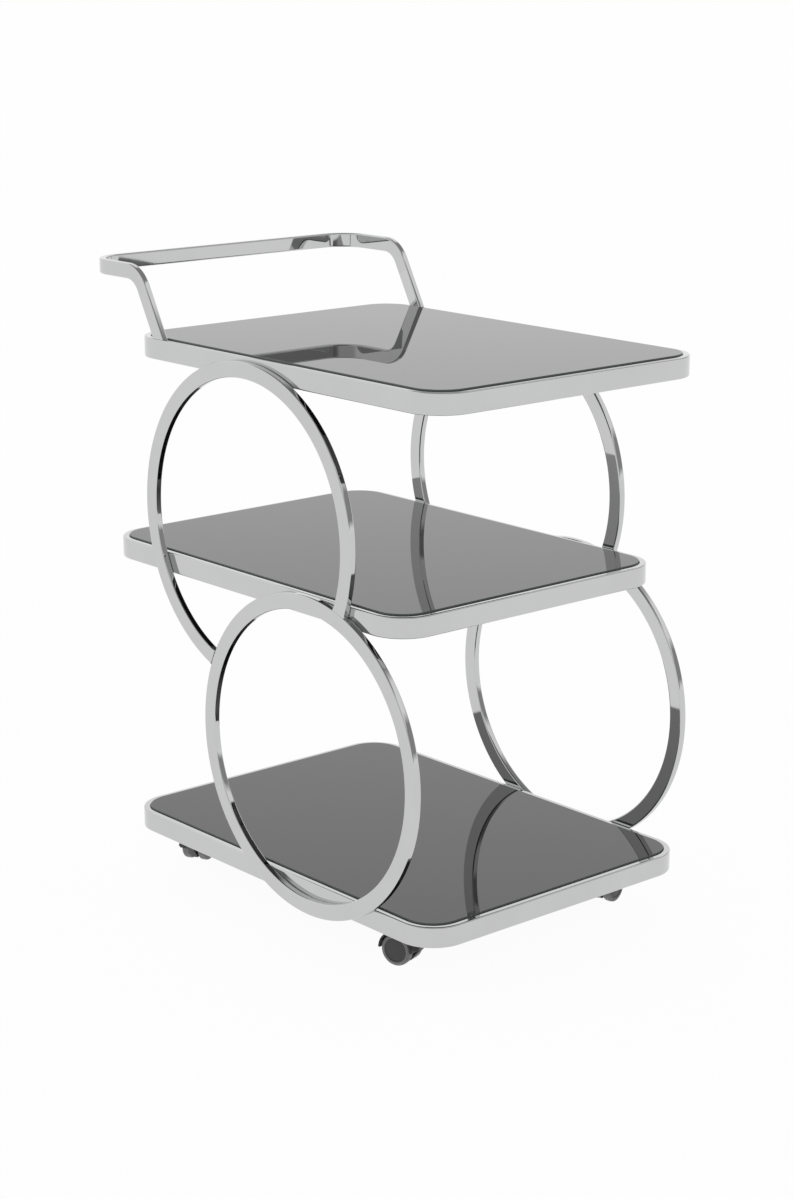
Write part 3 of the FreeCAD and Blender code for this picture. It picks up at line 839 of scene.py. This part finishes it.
def wheel_centre():
    """Nylon centre on the +Z side of the castor's middle, axle on Z."""
    bm = bmesh.new()
    turned(bm, [
        (0, CORE_OUT),
        (AXLE_BORE, CORE_OUT),
        (AXLE_BORE, WHEEL_IN),
        (CORE_RADIUS, WHEEL_IN),
        (CORE_RADIUS, WHEEL_IN + RIM_BACK),
        (HUB_RADIUS, WHEEL_IN + RIM_BACK),
        (HUB_RADIUS, WHEEL_OUT + RIM_PROUD),
        (HUB_RADIUS - RIM_LAND, WHEEL_OUT + RIM_PROUD),
        (HUB_RADIUS - RIM_FALL, WHEEL_OUT - GROOVE_DEPTH),
        (HUB_RADIUS - COVER_EDGE, WHEEL_OUT - COVER_SINK),
        (0, WHEEL_OUT + DOME),
    ], CENTRE_ROUNDING, 128)
    return bare_mesh(bm)


TYRE = tyre()
CENTRE = wheel_centre()
for caster in CASTERS:
    for wheel, way in (("inner", -90), ("outer", 90)):
        place = caster_places[caster] @ (AXLE @ Matrix.Rotation(math.radians(way), 4, "X"))
        body = caster + "_" + wheel + "_wheel"
        make_piece(
            stamped(TYRE, [place]), body + "_tread", TREAD, body,
            [caster + "_" + wheel + "_tyre"], 40,
        )
        make_piece(
            stamped(CENTRE, [place]), body + "_centre", HUB, body,
            [caster + "_" + wheel + "_hub"], 40,
        )


# ---- Studio -------------------------------------------------------------------------------
# White floor and a white wall behind, with darker walls to the right and on the camera's side and
# a dark ceiling. Each pair is where a wall starts and where it is full, as a share of the distance.
FLOOR_RADIUS = 60
FLOOR_SHADE = 0.06
FLOOR_GLOW = 0.955
WALL_EAST, WALL_NORTH = 0.756, 0.654     # heading of the right-hand wall; the other is square to it
WHITE_WALL = 1.03
RIGHT_WALL = (0.40, 0.75)
RIGHT_WALL_FOOT = (0.03, 0.10)
RIGHT_WALL_HEAD = (0.36, 0.46)
RIGHT_WALL_DIM = 0.68
CAMERA_WALL = (0.55, 0.80)
CAMERA_WALL_FOOT = (0.02, 0.10)
CAMERA_WALL_DIM = 0.35
CEILING = (0.66, 0.73)
CEILING_DIM = 0.72


def white_floor():
    finish, tone = new_finish("white_floor")
    lay_on(tone, {
        "Base Color": (FLOOR_SHADE, FLOOR_SHADE, FLOOR_SHADE, 1),
        "Roughness": 1.0,
        "Specular IOR Level": 0.0,
        "Emission Color": (1, 1, 1, 1),
        "Emission Strength": FLOOR_GLOW,
    })
    return finish


bm = bmesh.new()
bmesh.ops.create_circle(bm, cap_ends=True, radius=FLOOR_RADIUS, segments=96)
floor_mesh = bpy.data.meshes.new("floor")
bm.to_mesh(floor_mesh)
bm.free()
floor_mesh.materials.append(white_floor())
floor = bpy.data.objects.new("floor", floor_mesh)
bpy.context.scene.collection.objects.link(floor)
floor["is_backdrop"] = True

world = bpy.data.worlds.new("studio")
world.use_nodes = True
world.node_tree.nodes.clear()
sky = Tone(world.node_tree)
way_out = sky.node("ShaderNodeTexCoord", output="Generated")
east, north, height = (way_out.part(index) for index in range(3))
across = east * WALL_EAST + north * WALL_NORTH
outward = east * WALL_NORTH - north * WALL_EAST
right_wall = sky.ramp(across, *RIGHT_WALL) * sky.ramp(height, *RIGHT_WALL_FOOT)
right_wall = right_wall * (1 - sky.ramp(height, *RIGHT_WALL_HEAD))
camera_wall = sky.ramp(outward, *CAMERA_WALL) * sky.ramp(height, *CAMERA_WALL_FOOT)
ceiling = sky.ramp(height, *CEILING)
light = WHITE_WALL - right_wall * RIGHT_WALL_DIM - ceiling * CEILING_DIM
light = light - camera_wall * (1 - ceiling) * CAMERA_WALL_DIM
air = sky.node("ShaderNodeBackground", None, {"Color": (1, 1, 1, 1), "Strength": light})
sky.node("ShaderNodeOutputWorld", None, {"Surface": air})
bpy.context.scene.world = world
bpy.context.scene.view_settings.view_transform = "Standard"


# ---- Camera -------------------------------------------------------------------------------
CAMERA_AZIMUTH = math.radians(49.15)
CAMERA_RISE = math.radians(14.84)
CAMERA_DISTANCE = 3.219
CAMERA_LENS = 75.88
SENSOR_WIDTH = 36
AIM_SHIFT = (0.004, 0.013, -0.021)       # from the middle of the cart's box
low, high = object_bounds()
aim = (low + high) / 2 + Vector(AIM_SHIFT)
back = Vector((
    math.sin(CAMERA_AZIMUTH) * math.cos(CAMERA_RISE),
    -math.cos(CAMERA_AZIMUTH) * math.cos(CAMERA_RISE),
    math.sin(CAMERA_RISE),
))
camera_data = bpy.data.cameras.new("camera")
camera_data.lens = CAMERA_LENS
camera_data.sensor_width = SENSOR_WIDTH
camera = bpy.data.objects.new("camera", camera_data)
camera.location = aim + back * CAMERA_DISTANCE
camera.rotation_euler = back.to_track_quat("Z", "Y").to_euler()
bpy.context.scene.collection.objects.link(camera)
bpy.context.scene.camera = camera
